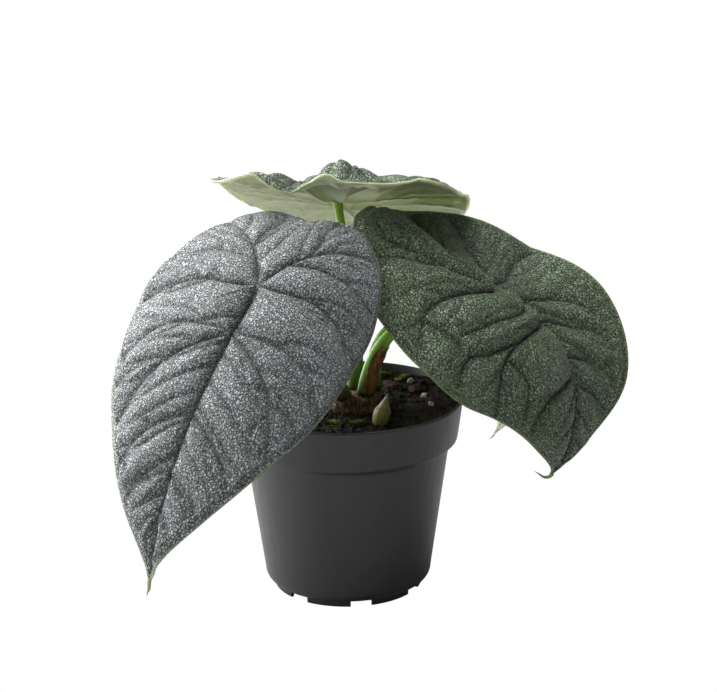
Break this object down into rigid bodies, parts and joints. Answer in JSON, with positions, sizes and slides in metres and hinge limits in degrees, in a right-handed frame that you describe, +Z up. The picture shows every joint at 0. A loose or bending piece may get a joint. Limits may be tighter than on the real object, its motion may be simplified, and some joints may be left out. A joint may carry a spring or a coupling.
{
  "type": "potted alocasia",
  "caption": "Jewel alocasia with thick quilted heart-shaped leaves on short stalks, growing in a dark grey nursery pot with a rim band.",
  "frame": {"origin": "centre of the pot's flat centre foot, on the standing plane", "axes": "+Z up along the pot's axis, -Y to the front of the plant, +X to the right seen from the front"},
  "size_m": [0.2606, 0.296, 0.2166],
  "materials": {
    "pot": "satin dark grey injection-moulded polypropylene",
    "soil": "damp dark peat mix",
    "rhizome": "brown fibrous stem skin",
    "corm": "smooth pale green scale with a brown ring",
    "leaf": "thick quilted blade, pebbled silvery green above and pale green below",
    "petiole": "smooth fresh green stalk",
    "sheath": "dry papery brown sheath",
    "perlite": "porous off-white grain",
    "bark": "rough red-brown bark",
    "moss": "soft yellow-green moss"
  },
  "bodies": {
    "root": {"nursery_pot": "pot", "potting_soil": "soil", "rhizome": "rhizome", "offset_corm": "corm", "leaf_front_left": "leaf", "petiole_front_left": "petiole", "leaf_right": "leaf", "petiole_right": "petiole", "leaf_back": "leaf", "petiole_back": "petiole", "leaf_small": "leaf", "petiole_small": "petiole", "papery_sheath_right": "sheath", "papery_sheath_left": "sheath", "perlite_grain_1": "perlite", "perlite_grain_2": "perlite", "perlite_grain_3": "perlite", "perlite_grain_4": "perlite", "perlite_grain_5": "perlite", "perlite_grain_6": "perlite", "bark_chip_1": "bark", "bark_chip_2": "bark", "bark_chip_3": "bark", "moss_clump_1": "moss", "moss_clump_2": "moss", "moss_clump_3": "moss", "moss_clump_4": "moss", "moss_clump_5": "moss"}
  },
  "joints": []
}
